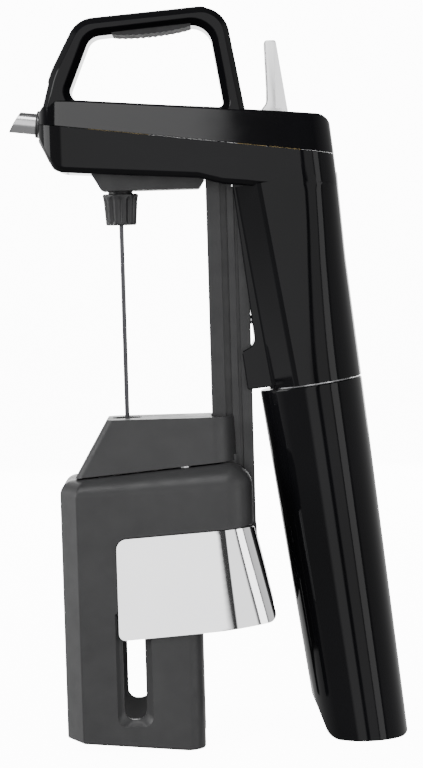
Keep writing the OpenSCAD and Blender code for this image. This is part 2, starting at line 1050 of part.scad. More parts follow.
// The head that carries the jaws: it slides on the rail and guides the needle
module guide_head() {
    root_half = 14.5;
    shoulder_half = 12.8;
    top_half = 11.4;
    room_low = 60;
    tongue_x = groove_x - groove_w / 2 + play;
    color(graphite)
        place()
            difference() {
                union() {
                    intersection() {
                        slab(head_outline, 40);
                        rotate([90, 0, 90])
                            translate([0, 0, -30])
                                linear_extrude(80)
                                    polygon([
                                        [-root_half, 88], [root_half, 88], [shoulder_half, head_top - 1.5],
                                        [top_half, head_top], [-top_half, head_top],
                                        [-shoulder_half, head_top - 1.5]
                                    ]);
                    }
                    translate([leg_back + 0.4, -channel_half, carriage_foot])
                        cube([carriage_back - leg_back - 0.4, 2 * channel_half, carriage_h]);
                }
                difference() {
                    translate([rail_front - play, -rail_half - play, room_low])
                        cube([20, 2 * (rail_half + play), 60]);
                    both_sides()
                        translate([tongue_x, rail_half - groove_depth + play, room_low - 10])
                            cube([groove_w - 2 * play, 5, 80]);
                }
                translate([0, 0, 80])
                    cylinder(r = bush_r + hair, h = 40);
                translate([0, 0, bush_flange_z])
                    cylinder(r = bush_flange_r + 2 * hair, h = 10);
                both_sides()
                    translate([jaw_pin_x, jaw_pin_y, 80])
                        cylinder(r = jaw_pin_r + fit, h = jaw_pin_top - 80 + fit);
                translate([rail_front - play - slide_pad_t, -slide_pad_half, slide_pad_foot])
                    cube([5, 2 * slide_pad_half, slide_pad_h]);
            }
}

module guide_bushing() {
    flange_h = 0.6;
    needle_play = 0.15;
    color(silver)
        place()
            difference() {
                union() {
                    translate([0, 0, bush_foot])
                        cylinder(r = bush_r, h = bush_flange_z + hair - bush_foot);
                    translate([0, 0, bush_flange_z])
                        cylinder(r = bush_flange_r, h = flange_h);
                }
                translate([0, 0, 80])
                    cylinder(r = needle_r + needle_play, h = 40);
            }
}

module slide_pad() {
    color(clear_tube)
        place()
            translate([rail_front - play - slide_pad_t, -slide_pad_half, slide_pad_foot + hair])
                cube([slide_pad_t - run, 2 * slide_pad_half, slide_pad_h - 2 * hair]);
}

module jaw_pins() {
    color(silver)
        place()
            both_sides()
                translate([jaw_pin_x, jaw_pin_y, jaw_pin_foot])
                    cylinder(r = jaw_pin_r, h = jaw_pin_top - jaw_pin_foot);
}

module jaw_springs() {
    wire_r = 0.4;
    turns = 3;
    color(silver)
        place()
            both_sides()
                translate([jaw_pin_x, jaw_pin_y, jaw_pin_foot + wire_r])
                    coil_spring(jaw_spring_r, wire_r, jaw_spring_h, turns);
}

// Plan of one jaw on the +Y side: front wall, cut corner, side wall and back corner
module jaw_plan(back, back_r, inset) {
    front_half = 14;
    corner_x = -17;
    corner_r = 1;
    polygon(rounded([
        [jaw_front + inset, jaw_split, 0],
        [jaw_front + inset, front_half - inset * 0.4, corner_r],
        [corner_x + inset * 0.4, clamp_half - inset, corner_r],
        [back - inset, clamp_half - inset, back_r],
        [back - inset, jaw_split, 0]
    ]));
}

// The jaw without its openings
module jaw_blank() {
    leg_r = 5;
    band_r = 8.5;
    shoulder_r = 9;
    intersection() {
        union() {
            linear_extrude(110)
                jaw_plan(leg_back, leg_r, 0);
            translate([0, 0, 60])
                linear_extrude(50)
                    jaw_plan(band_back, band_r, 0);
        }
        slab(jaw_outline, 60);
        rotate([90, 0, 90])
            translate([0, 0, -40])
                linear_extrude(100)
                    polygon(rounded([
                        [-1, -1, 0], [clamp_half, -1, 0], [clamp_half, 92, shoulder_r], [-1, 98, 0]
                    ]));
    }
}

// What is taken out of a jaw, apart from the room for the paddle
module jaw_rooms() {
    hollow_h = 88;
    band_room = [[23.6, 0], [39.5, 0], [39.5, 13.5], [37, 17.5], [32, 19.4], [23.6, 19.4]];
    spring_room_r = jaw_spring_r + 0.8;
    difference() {
        translate([0, 0, -1])
            linear_extrude(hollow_h)
                jaw_plan(leg_back, 3, jaw_wall);
        translate([jaw_pin_x, jaw_pin_y, jaw_lug_foot])
            cylinder(r = jaw_lug_r, h = 40);
        translate([jaw_pin_x - jaw_pin_r, jaw_pin_y, jaw_lug_foot])
            cube([2 * jaw_pin_r, clamp_half - jaw_pin_y - 1, 40]);
    }
    translate([0, -1, jaw_lug_foot])
        linear_extrude(25)
            polygon(band_room);
    translate([leg_back - 4, -1, -1])
        cube([40, channel_half + 2, 120]);
    translate([band_back - 10, -1, 60])
        cube([20, 14, 60]);
    cylinder(r = 5, h = 120);
    translate([jaw_pin_x, jaw_pin_y, -1])
        cylinder(r = jaw_pin_r + run, h = 120);
    translate([jaw_pin_x, jaw_pin_y, jaw_pin_foot - 1])
        cylinder(r = spring_room_r, h = jaw_lug_foot - jaw_pin_foot + 1);
    translate([window_x - window_w / 2, 40, window_foot])
        rotate([90, 0, 0])
            linear_extrude(40)
                polygon(rounded([[0, 0, 3], [window_w, 0, 3], [window_w, window_h, 3], [0, window_h, 3]]));
}

module jaw_half() {
    difference() {
        jaw_blank();
        jaw_rooms();
        paddle_solid();
    }
}

// The squeeze plate: flat over the jaw, then bent round towards the back
module paddle_solid() {
    front = -10;
    bend_x = 28;
    bend_long = 20;
    tail_y = 14;
    outer_y = clamp_half + paddle_proud;
    rise = outer_y - tail_y;
    outer = [for (a = [0:10:90]) [bend_x + bend_long * sin(a), tail_y + rise * cos(a)]];
    inner = [
        for (a = [90:-10:0])
            [bend_x + (bend_long - paddle_thick) * sin(a), tail_y + (rise - paddle_thick) * cos(a)]
    ];
    intersection() {
        translate([0, 0, 30])
            linear_extrude(50)
                polygon(concat([[front, outer_y]], outer, inner, [[front, outer_y - paddle_thick]]));
        slab(paddle_outline, 60);
    }
}

// A block with a round face that presses on the bottle's neck
module neck_pad() {
    pad_w = 22;
    inner_y = 9;
    difference() {
        translate([-pad_w / 2, inner_y, pad_foot])
            cube([pad_w, clamp_half - jaw_wall - inner_y - hair, pad_top - pad_foot]);
        translate([0, 0, pad_foot - 1])
            cylinder(r = neck_r, h = pad_top - pad_foot + 2);
    }
}

module jaw_right() {
    color(graphite)
        place()
            jaw_half();
}

module jaw_left() {
    color(graphite)
        place()
            mirror([0, 1, 0])
                jaw_half();
}

module paddle_right() {
    color(mirror_silver)
        place()
            paddle_solid();
}

module paddle_left() {
    color(mirror_silver)
        place()
            mirror([0, 1, 0])
                paddle_solid();
}

module neck_pad_right() {
    color(rubber)
        place()
            neck_pad();
}

module neck_pad_left() {
    color(rubber)
        place()
            mirror([0, 1, 0])
                neck_pad();
}

// ---- nodes ----------------------------------------------------------------------

top_cover();
main_housing();
loop_spine();
finger_grip();
spout_tube();
spout_ferrule();
needle_block();
manifold();
wine_tube();
gas_tube();
gas_riser();
valve_body();
valve_stem();
valve_spring();
trigger();
trigger_pin();
regulator_body();
regulator_piston();
regulator_spring();
regulator_cap();
piercing_pin();
capsule_seal();
cup_collar();
slide_rail();
rail_end_stop();
rail_screws();
housing_screws();
needle();
needle_nut();
needle_seal();
guide_head();
guide_bushing();
slide_pad();
jaw_pins();
jaw_springs();
jaw_left();
jaw_right();
paddle_left();
paddle_right();
neck_pad_left();
neck_pad_right();
gas_capsule();
cup_cushion();
capsule_cup();
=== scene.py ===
"""Looks for a hand-held needle wine pourer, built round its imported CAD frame.

Outlines are written in millimetres with the needle on x = 0, as seen from the side, and
point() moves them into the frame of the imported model, in metres. Each visible piece has its
own function, and the last block of the file calls them in order.
"""
import json
import math

import bmesh
import bpy
from mathutils import Euler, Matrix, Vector


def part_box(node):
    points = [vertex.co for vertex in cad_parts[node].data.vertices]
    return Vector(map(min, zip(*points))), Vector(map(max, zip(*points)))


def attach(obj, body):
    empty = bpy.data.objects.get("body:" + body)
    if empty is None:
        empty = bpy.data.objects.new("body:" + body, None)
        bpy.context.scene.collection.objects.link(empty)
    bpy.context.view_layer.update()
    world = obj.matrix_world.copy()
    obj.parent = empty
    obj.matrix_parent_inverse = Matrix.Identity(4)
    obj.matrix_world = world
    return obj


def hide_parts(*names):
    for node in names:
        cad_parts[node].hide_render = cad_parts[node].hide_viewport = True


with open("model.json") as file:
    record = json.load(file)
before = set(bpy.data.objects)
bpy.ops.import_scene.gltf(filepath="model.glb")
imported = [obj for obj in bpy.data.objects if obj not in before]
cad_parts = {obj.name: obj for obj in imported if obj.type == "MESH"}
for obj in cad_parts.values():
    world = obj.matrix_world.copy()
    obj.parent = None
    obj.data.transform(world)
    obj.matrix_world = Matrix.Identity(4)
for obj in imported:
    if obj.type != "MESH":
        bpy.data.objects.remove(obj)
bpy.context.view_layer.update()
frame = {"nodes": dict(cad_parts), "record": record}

MM = 0.001
NEEDLE_X = sum(corner.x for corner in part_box("needle")) / 2
# The handle leans back by LEAN, and its two halves meet at SEAM.
LEAN = math.radians(7)
SEAM = (61.5, 118.7)
SEAM_R = 17.08
# Edges that turn by more than this are shaded as edges.
SHARP = math.radians(32)
PLANE_REACH = 1e-7


# ---- geometry helpers ------------------------------------------------------------

def point(x, y, z):
    """A place in the object's own millimetres, with the needle on x = 0, as a place in the frame."""
    return Vector((x * MM + NEEDLE_X, y * MM, z * MM))


def handle_point(across, side, up):
    """A point in the handle's own frame: across towards the back, up along its lean."""
    x = SEAM[0] + across * math.cos(LEAN) - up * math.sin(LEAN)
    z = SEAM[1] + across * math.sin(LEAN) + up * math.cos(LEAN)
    return point(x, side, z)


def rounded(corners, steps=6):
    """A closed outline of (x, z, radius) corners as plain points, with each corner an arc."""
    out = []
    for i, (x, z, r) in enumerate(corners):
        b = Vector((x, z))
        if r <= 0:
            out.append(b)
            continue
        u = (Vector(corners[i - 1][:2]) - b).normalized()
        w = (Vector(corners[(i + 1) % len(corners)][:2]) - b).normalized()
        half = math.acos(max(-1.0, min(1.0, u.dot(w)))) / 2
        middle = b + (u + w).normalized() * r / math.sin(half)
        first = b + u * r / math.tan(half) - middle
        last = b + w * r / math.tan(half) - middle
        start = math.atan2(first.y, first.x)
        turn = math.atan2(last.y, last.x) - start
        turn = (turn + math.pi) % (2 * math.pi) - math.pi
        for k in range(steps + 1):
            a = start + turn * k / steps
            out.append(middle + r * Vector((math.cos(a), math.sin(a))))
    return out


def area2(points):
    """The signed area of an outline: above zero when it runs anticlockwise."""
    return sum(p.x * q.y - q.x * p.y for p, q in zip(points, points[1:] + points[:1])) / 2


def inset(points, distance):
    """The outline moved inwards by distance, point for point."""
    sign = 1 if area2(points) > 0 else -1
    out = []
    for i, p in enumerate(points):
        before = (p - points[i - 1]).normalized()
        after = (points[(i + 1) % len(points)] - p).normalized()
        normal = Vector((-(before.y + after.y), before.x + after.x)).normalized() * sign
        slope = max(0.4, abs(normal.dot(Vector((-before.y, before.x)))))
        out.append(p + normal * distance / slope)
    return out


def lerp(a, b, t):
    """The value a share t of the way from a to b."""
    return a + (b - a) * t


def smooth_step(t):
    """A soft step from 0 to 1."""
    t = max(0.0, min(1.0, t))
    return t * t * (3 - 2 * t)


def along(table, x):
    """The value at x on a line through (x, value) pairs."""
    if x <= table[0][0]:
        return table[0][1]
    for (x0, v0), (x1, v1) in zip(table, table[1:]):
        if x <= x1:
            return lerp(v0, v1, (x - x0) / (x1 - x0))
    return table[-1][1]


def mark(bm):
    """Smooth shading, with sharp edges where the surface turns hard."""
    for face in bm.faces:
        face.smooth = True
    for edge in bm.edges:
        edge.smooth = len(edge.link_faces) == 2 and edge.calc_face_angle(0.0) < SHARP


def to_object(name, bm):
    """Turns a finished bmesh into an object of the scene."""
    bmesh.ops.recalc_face_normals(bm, faces=bm.faces)
    mark(bm)
    mesh = bpy.data.meshes.new(name)
    bm.to_mesh(mesh)
    bm.free()
    obj = bpy.data.objects.new(name, mesh)
    bpy.context.scene.collection.objects.link(obj)
    return obj


def loft(name, rings):
    """A closed solid through rings of the same number of points, with flat ends."""
    bm = bmesh.new()
    rows = [[bm.verts.new(p) for p in ring] for ring in rings]
    count = len(rows[0])
    for low, high in zip(rows, rows[1:]):
        for k in range(count):
            m = (k + 1) % count
            bm.faces.new((low[k], low[m], high[m], high[k]))
    bm.faces.new(rows[0])
    bm.faces.new(rows[-1])
    return to_object(name, bm)


def edge_profile(half, edge, steps=5):
    """(y, inset) pairs across a slab whose two edges are rounded by edge."""
    arc = [(half - edge + edge * math.sin(a), edge - edge * math.cos(a))
           for a in (math.pi / 2 * k / steps for k in range(steps + 1))]
    return [(-y, d) for y, d in reversed(arc)] + arc


def slab(name, outline, half, edge, y=0.0):
    """A side outline as a plate of half-width half, with rounded edges."""
    rings = [[point(p.x, y + s, p.y) for p in inset(outline, d)] for s, d in edge_profile(half, edge)]
    return loft(name, rings)


def baked(obj):
    """Applies an object's modifiers to its mesh."""
    graph = bpy.context.evaluated_depsgraph_get()
    mesh = bpy.data.meshes.new_from_object(obj.evaluated_get(graph))
    old = obj.data
    obj.modifiers.clear()
    obj.data = mesh
    bpy.data.meshes.remove(old)
    return obj


def combine(obj, other, operation):
    """Joins, cuts or intersects obj with other, which is used up."""
    modifier = obj.modifiers.new("combine", "BOOLEAN")
    modifier.object = other
    modifier.operation = operation
    modifier.solver = "EXACT"
    baked(obj)
    bpy.data.objects.remove(other)
    return obj


def cleaned(obj, merge=0.01 * MM):
    """Merges doubled points and drops slivers."""
    bm = bmesh.new()
    bm.from_mesh(obj.data)
    bmesh.ops.remove_doubles(bm, verts=bm.verts, dist=merge)
    bmesh.ops.dissolve_degenerate(bm, dist=merge, edges=bm.edges)
    mark(bm)
    bm.to_mesh(obj.data)
    bm.free()
    return obj


def cut(obj, place, normal):
    """Keeps what lies behind a plane and closes the cut."""
    bm = bmesh.new()
    bm.from_mesh(obj.data)
    geom = bm.verts[:] + bm.edges[:] + bm.faces[:]
    done = bmesh.ops.bisect_plane(bm, geom=geom, dist=PLANE_REACH, plane_co=place, plane_no=normal,
                                  clear_outer=True)
    edges = [e for e in done["geom_cut"] if isinstance(e, bmesh.types.BMEdge)]
    bmesh.ops.holes_fill(bm, edges=edges, sides=0)
    bmesh.ops.recalc_face_normals(bm, faces=bm.faces)
    mark(bm)
    bm.to_mesh(obj.data)
    bm.free()
    return obj


def copy_of(obj, name):
    """A second object with a mesh of its own."""
    twin = bpy.data.objects.new(name, obj.data.copy())
    bpy.context.scene.collection.objects.link(twin)
    return twin


def bevelled(obj, width, segments=3, angle=35):
    """Rounds every edge that turns by more than angle degrees."""
    modifier = obj.modifiers.new("edge", "BEVEL")
    modifier.width = width * MM
    modifier.segments = segments
    modifier.limit_method = "ANGLE"
    modifier.angle_limit = math.radians(angle)
    modifier.use_clamp_overlap = True
    modifier.miter_outer = "MITER_ARC"
    baked(obj)
    return cleaned(obj)


def weighted(obj):
    """Shading normals that follow the large faces."""
    modifier = obj.modifiers.new("normals", "WEIGHTED_NORMAL")
    modifier.keep_sharp = True
    modifier.weight = 50
    return obj


def mirrored(obj, name):
    """The same piece on the other side of the middle plane."""
    twin = copy_of(obj, name)
    bm = bmesh.new()
    bm.from_mesh(twin.data)
    for v in bm.verts:
        v.co.y = -v.co.y
    bmesh.ops.reverse_faces(bm, faces=bm.faces)
    mark(bm)
    bm.to_mesh(twin.data)
    bm.free()
    return twin


def box_solid(name, low, high):
    """A plain block between two corners, used to cut and join."""
    corners = [(low[0], low[2]), (high[0], low[2]), (high[0], high[2]), (low[0], high[2])]
    return loft(name, [[point(x, y, z) for x, z in corners] for y in (low[1], high[1])])


# ---- materials -------------------------------------------------------------------

class Finish:
    """A node material: a principled shader whose colour, roughness and bump vary."""

    def __init__(self, name, colour, roughness, metallic=0.0):
        self.material = bpy.data.materials.new(name)
        self.material.use_nodes = True
        self.nodes = self.material.node_tree.nodes
        self.links = self.material.node_tree.links
        self.shader = self.nodes["Principled BSDF"]
        self.shader.inputs["Base Color"].default_value = (*colour, 1)
        self.shader.inputs["Roughness"].default_value = roughness
        self.shader.inputs["Metallic"].default_value = metallic
        self.coords = self.nodes.new("ShaderNodeTexCoord").outputs["Object"]

    def noise(self, scale, stretch=(1, 1, 1), detail=3.0):
        """A noise over the object, finer with scale and drawn out where stretch is small."""
        mapping = self.nodes.new("ShaderNodeMapping")
        mapping.inputs["Scale"].default_value = stretch
        self.links.new(self.coords, mapping.inputs["Vector"])
        noise = self.nodes.new("ShaderNodeTexNoise")
        noise.inputs["Scale"].default_value = scale
        noise.inputs["Detail"].default_value = detail
        self.links.new(mapping.outputs["Vector"], noise.inputs["Vector"])
        return noise.outputs["Fac"]

    def spread(self, factor, low, high):
        """The middle of a noise's range, spread from low to high."""
        ranged = self.nodes.new("ShaderNodeMapRange")
        ranged.inputs["From Min"].default_value = 0.3
        ranged.inputs["From Max"].default_value = 0.7
        ranged.inputs["To Min"].default_value = low
        ranged.inputs["To Max"].default_value = high
        self.links.new(factor, ranged.inputs["Value"])
        return ranged.outputs["Result"]

    def vary_roughness(self, factor, low, high):
        """Roughness from low to high with a noise."""
        self.links.new(self.spread(factor, low, high), self.shader.inputs["Roughness"])
        return self

    def vary_colour(self, factor, first, second):
        """Colour from first to second with a noise."""
        mix = self.nodes.new("ShaderNodeMix")
        mix.data_type = "RGBA"
        mix.inputs[6].default_value = (*first, 1)
        mix.inputs[7].default_value = (*second, 1)
        self.links.new(self.spread(factor, 0, 1), mix.inputs[0])
        self.links.new(mix.outputs[2], self.shader.inputs["Base Color"])
        return self

    def bump(self, factor, distance, strength=0.5):
        """Fine relief of so many metres from a noise."""
        bump = self.nodes.new("ShaderNodeBump")
        bump.inputs["Distance"].default_value = distance
        bump.inputs["Strength"].default_value = strength
        self.links.new(factor, bump.inputs["Height"])
        self.links.new(bump.outputs["Normal"], self.shader.inputs["Normal"])
        return self

    def set(self, **values):
        """Plain values on the shader's own sockets."""
        for name, value in values.items():
            self.shader.inputs[name.replace("_", " ")].default_value = value
        return self


def piano_black():
    """Polished black plastic with a faint unevenness in its gloss."""
    f = Finish("piano_black", (0.004, 0.004, 0.0045), 0.06)
    f.set(Specular_IOR_Level=0.13)
    f.vary_roughness(f.noise(60, detail=4), 0.05, 0.1)
    f.vary_colour(f.noise(25), (0.0035, 0.0035, 0.004), (0.005, 0.005, 0.006))
    return f.bump(f.noise(14, detail=1), 0.00005, 0.08).material


def moulded(name, dark, light, rough, grain=2600):
    """Moulded plastic with a fine spark-eroded texture."""
    f = Finish(name, dark, rough)
    f.set(Specular_IOR_Level=0.3)
    f.vary_colour(f.noise(70, detail=5), dark, light)
    f.vary_roughness(f.noise(180, detail=3), rough - 0.06, rough + 0.07)
    return f.bump(f.noise(grain, detail=2), 0.00006, 0.35).material


def chrome():
    """Bright plating that is very slightly wavy."""
    f = Finish("chrome", (0.86, 0.86, 0.87), 0.05, 1.0)
    f.vary_roughness(f.noise(90, detail=4), 0.03, 0.07)
    f.vary_colour(f.noise(30), (0.84, 0.84, 0.855), (0.89, 0.89, 0.9))
    return f.bump(f.noise(12, detail=1), 0.00004, 0.06).material


def metal(name, dark, light, low, high, stretch=(1, 1, 1)):
    """Metal with fine brushing along the axis whose stretch is smallest."""
    f = Finish(name, light, low, 1.0)
    lines = f.noise(900, stretch, 4)
    f.vary_colour(f.noise(60, stretch), dark, light)
    f.vary_roughness(lines, low, high)
    return f.bump(lines, 0.00003, 0.25).material


def rubber(name, dark, light):
    """Matt rubber with a fine grain."""
    f = Finish(name, dark, 0.75)
    f.set(Specular_IOR_Level=0.3, Sheen_Weight=0.15, Sheen_Roughness=0.5)
    f.vary_colour(f.noise(120, detail=5), dark, light)
    f.vary_roughness(f.noise(300), 0.66, 0.85)
    return f.bump(f.noise(3200, detail=2), 0.00007, 0.4).material


def tubing():
    """Clear flexible tube."""
    f = Finish("tubing", (0.75, 0.76, 0.74), 0.3)
    f.set(Transmission_Weight=0.6, IOR=1.42)
    f.vary_colour(f.noise(80), (0.7, 0.71, 0.69), (0.8, 0.81, 0.79))
    f.vary_roughness(f.noise(200), 0.22, 0.36)
    return f.bump(f.noise(600), 0.00003, 0.2).material


BLACK = piano_black()
CLAMP = moulded("clamp_plastic", (0.029, 0.029, 0.030), (0.036, 0.036, 0.037), 0.42)
GRAPHITE = moulded("graphite_plastic", (0.022, 0.022, 0.023), (0.029, 0.029, 0.030), 0.38)
SOFT = moulded("soft_touch", (0.040, 0.041, 0.043), (0.052, 0.053, 0.055), 0.62, 3400)
CHROME = chrome()
SATIN = metal("satin_silver", (0.76, 0.76, 0.77), (0.88, 0.88, 0.89), 0.18, 0.28, (1, 1, 0.05))
STEEL = metal("brushed_steel", (0.45, 0.45, 0.46), (0.62, 0.62, 0.63), 0.2, 0.32, (0.06, 1, 1))
DARK_STEEL = metal("needle_steel", (0.05, 0.05, 0.055), (0.11, 0.11, 0.115), 0.25, 0.4, (1, 1, 0.05))
BRASS = metal("brass", (0.50, 0.36, 0.14), (0.66, 0.50, 0.22), 0.2, 0.34)
ALUMINIUM = metal("aluminium", (0.62, 0.62, 0.64), (0.76, 0.76, 0.78), 0.24, 0.36)
RUBBER = rubber("rubber", (0.012, 0.012, 0.012), (0.02, 0.02, 0.02))
GRIP = rubber("grip_rubber", (0.022, 0.022, 0.023), (0.034, 0.034, 0.035))
TUBING = tubing()

NODE_FINISH = {
    "gloss_black": BLACK, "soft_grey": SOFT, "grip_rubber": GRIP, "graphite": GRAPHITE,
    "clamp_grey": CLAMP, "chrome": CHROME, "satin_silver": SATIN, "steel": STEEL,
    "needle_steel": DARK_STEEL, "aluminium": ALUMINIUM, "brass": BRASS, "rubber": RUBBER,
    "clear_tube": TUBING,
}


# How far the edges of moulded pieces are rounded.
SOFT_EDGE = 0.35


def dress_cad_nodes():
    """Gives every CAD node the finish of its slot, and soft edges to the moulded ones."""
    edged = ("slide_rail", "rail_end_stop", "needle_block", "manifold", "valve_body")
    for part in frame["record"]["subparts"]:
        node = frame["nodes"][part["node"]]
        node.data.materials.clear()
        node.data.materials.append(NODE_FINISH[part["material_slot"]])
        if part["node"] in edged:
            weld = node.modifiers.new("weld", "WELD")
            weld.merge_threshold = 0.01 * MM
            edge = node.modifiers.new("edge", "BEVEL")
            edge.width = SOFT_EDGE * MM
            edge.segments = 2
            edge.limit_method = "ANGLE"
            edge.angle_limit = math.radians(40)


def finished(piece, body, slot, material, *nodes):
    """Puts a new piece on its body, in its finish, in place of its CAD nodes."""
    piece.data.materials.clear()
    piece.data.materials.append(material)
    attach(piece, body)
    if nodes:
        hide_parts(*nodes)
    return piece


# ---- upper shells ----------------------------------------------------------------

# The ridge between the two shells: where it starts, and how steeply it falls towards the back.
RIDGE = ((-24.8, 205.9), math.radians(7.1))
RIDGE_GAP = 0.09
ARM_HALF = 14.5
ARM_NOSE = -26.3
ARM_BACK = 71.0
NOSE_LENGTH = 9
NOSE_PULL = 7.5
BACK_TURN = 12.0
LOOP_HALF = 9.5
LOOP_EDGE = (1.9, 1.9)
HOLE_EDGE = (2.4, 3.0)
FLANGE_HALF = 8.0
FLANGE_EDGE = 0.4
LOOP_OUTER = [(-25.4, 208, 0), (-21.4, 222.6, 30), (-12.2, 239.9, 9), (36, 243.6, 9.5), (42.4, 207, 0)]


def ridge_z(x):
    """The height of the ridge at x."""
    return RIDGE[0][1] - (x - RIDGE[0][0]) * math.tan(RIDGE[1])


def arm_shell():
    """The whole arm above and below the ridge, from the nose to its rounded back."""
    floor = [(-26.3, 202.6), (-25.8, 200.8), (-25.0, 198.8), (-24.0, 196.6), (-22.9, 194.2), (-21.8, 192.4),
             (-20.4, 190.9), (-19.1, 190.2), (-16.8, 189.95), (30, 186.8), (34.5, 184.7), (44, 184.0),
             (52, 183), (72, 183)]
    top = [(-26.3, 209.0), (-25.6, 210.6), (-24.4, 212.2), (-20, 214.1), (-13, 213.8), (65.5, 207.45)]
    stations = [ARM_NOSE + NOSE_LENGTH * (1 - math.cos(math.pi / 2 * k / 10)) for k in range(11)]
    stations += [-12, -4, 6, 16, 26, 34, 42, 50, 56]
    stations += [ARM_BACK - BACK_TURN + BACK_TURN * math.sin(math.pi / 2 * k / 16) for k in range(17)]
    rings = []
    for x in stations:
        into_nose = max(0.0, (ARM_NOSE + NOSE_LENGTH - x) / NOSE_LENGTH)
        into_back = max(0.0, (x - (ARM_BACK - BACK_TURN)) / BACK_TURN)
        half = ARM_HALF - NOSE_PULL * (1 - math.sqrt(max(0.0, 1 - into_nose ** 2)))
        half -= (BACK_TURN - 1.5) * (1 - math.sqrt(max(0.0, 1 - into_back ** 2)))
        share = half / ARM_HALF
        roof = along(top, x)
        into_corner = max(0.0, (x - (ARM_BACK - 5.0)) / 5.0)
        roof -= 4.2 * (1 - math.sqrt(max(0.0, 1 - into_corner ** 2)))
        ridge = min(ridge_z(x), roof - 1.5)
        base = along(floor, x)
        low = min(1.6, (ridge - base) * 0.6)
        corners = [
            (-LOOP_HALF * share, roof, 1.6 * share), (LOOP_HALF * share, roof, 1.6 * share),
            (half, ridge, 1.2 * share), (half, base + low, 1.5 * share),
            (half - 1.5 * share, base, 0.8 * share), (-half + 1.5 * share, base, 0.8 * share),
            (-half, base + low, 1.5 * share), (-half, ridge, 1.2 * share),
        ]
        tilt = math.tan(math.radians(5.7)) * smooth_step((x - 40) / 30)
        rings.append([point(x + tilt * (ridge_z(ARM_BACK) - p.y), p.x, p.y) for p in rounded(corners, 4)])
    return loft("arm_shell", rings)


def handle_shell():
    """The upper handle: round at the seam, flat-sided where it meets the arm."""
    rings = []
    for k in range(15):
        t = k / 14
        up = lerp(0.1, 67.5, t)
        ease = smooth_step(t)
        half = lerp(17.0, ARM_HALF - 0.02, ease)
        back = along([(0, SEAM_R), (40, 17.6), (62, 18.55), (70, 19.05)], up) - 0.03 * t
        turn = lerp(16.6, 12.0, ease)
        side = lerp(-5.4, -7.6, t)
        corners = [
            (back, -half, turn), (back, half, turn), (side, half, 3.0), (side - 7.2, 8.4, 1.0),
            (side - 8.4, 7.6, 0.5), (side - 8.4, -7.6, 0.5), (side - 7.2, -8.4, 1.0), (side, -half, 3.0),
        ]
        rings.append([handle_point(p.x, p.y, up) for p in rounded(corners, 8)])
    return loft("handle_shell", rings)


def flange_shell():
    """The narrow front of the handle that holds the rail, with its step near the seam."""
    outline = rounded([
        (36.6, 187.5, 0), (37.4, 182.6, 2), (43.1, 133.5, 2), (42.2, 131.5, 0.8), (38.8, 129.6, 1.2),
        (40.3, 117.0, 0.8), (52, 118.2, 0), (52, 187.5, 0)
    ])
    return slab("flange_shell", outline, FLANGE_HALF, FLANGE_EDGE)


def finger_loop():
    """The closed ring of the finger loop, with broad bevels round its hole."""
    outer = rounded(LOOP_OUTER, 10)
    hole = rounded([(-16.6, 213.9, 3), (-8.2, 234.3, 5), (30.8, 237.7, 7), (35.2, 210.2, 1.5)], 10)
    bm = bmesh.new()

    def wall(points, steps, inward):
        """A band of faces round an outline, and the outline's points at its two ends."""
        rows = [[bm.verts.new(point(p.x, y, p.y)) for p in inset(points, d * inward)] for y, d in steps]
        for low, high in zip(rows, rows[1:]):
            for k in range(len(points)):
                m = (k + 1) % len(points)
                bm.faces.new((low[k], low[m], high[m], high[k]))
        return rows[0], rows[-1]

    def levels(width, depth):
        """(y, inset) pairs for a wall whose edges are cut back by a broad bevel."""
        side = [(LOOP_HALF - depth, 0.0), (LOOP_HALF - depth * 0.12, width * 0.82), (LOOP_HALF, width)]
        return [(-y, d) for y, d in reversed(side)] + side

    outer_ends = wall(outer, levels(*LOOP_EDGE), 1)
    hole_ends = wall(hole, levels(*HOLE_EDGE), -1)
    for ring, other in zip(outer_ends, hole_ends):
        edges = []
        for verts in (ring, other):
            edges += [bm.edges.get((verts[k - 1], verts[k])) for k in range(len(verts))]
        bmesh.ops.triangle_fill(bm, edges=edges, use_beauty=True)
    return to_object("finger_loop", bm)


def build_shells():
    """The arm and handle as one solid, parted along the ridge into a cover and a housing."""
    shell = arm_shell()
    combine(shell, handle_shell(), "UNION")
    combine(shell, flange_shell(), "UNION")
    cover = copy_of(shell, "top_cover_shell")
    ridge_at = point(RIDGE[0][0], 0, RIDGE[0][1])
    ridge_up = Vector((math.sin(RIDGE[1]), 0, math.cos(RIDGE[1])))
    gap = ridge_up * RIDGE_GAP * MM
    cut(shell, ridge_at - gap, ridge_up)
    cut(cover, ridge_at + gap, -ridge_up)
    shell.name = "main_housing_shell"
    combine(cover, finger_loop(), "UNION")
    combine(cover, box_solid("trigger_slot", (45.4, -4.6, 197), (57.4, 4.6, 216)), "DIFFERENCE")
    ferrule_hole = spout_solid("ferrule_hole", FERRULE_R + 0.1, -10, 30)
    combine(cover, copy_of(ferrule_hole, "ferrule_hole_2"), "DIFFERENCE")
    combine(shell, ferrule_hole, "DIFFERENCE")
    for obj in (shell, cover):
        bevelled(obj, SOFT_EDGE, 2, 38)
        weighted(obj)
    finished(shell, "housing", "gloss_black", BLACK, "main_housing")
    finished(cover, "housing", "gloss_black", BLACK, "top_cover")


def strip(name, path, middle, half, proud):
    """A thin band of width 2 * half that lies on a path, facing away from a middle point."""
    rings = []
    for i, p in enumerate(path):
        ahead = path[min(i + 1, len(path) - 1)] - path[max(i - 1, 0)]
        normal = Vector((-ahead.y, ahead.x)).normalized()
        if normal.dot(p - middle) < 0:
            normal.negate()
        lift = proud * smooth_step((min(i, len(path) - 1 - i) + 0.5) / 2)
        section = rounded([(-half, -0.9, 0), (half, -0.9, 0), (half, lift, 0.25), (-half, lift, 0.25)], 3)
        rings.append([point(p.x + normal.x * q.y, q.x, p.y + normal.y * q.y) for q in section])
    return loft(name, rings)


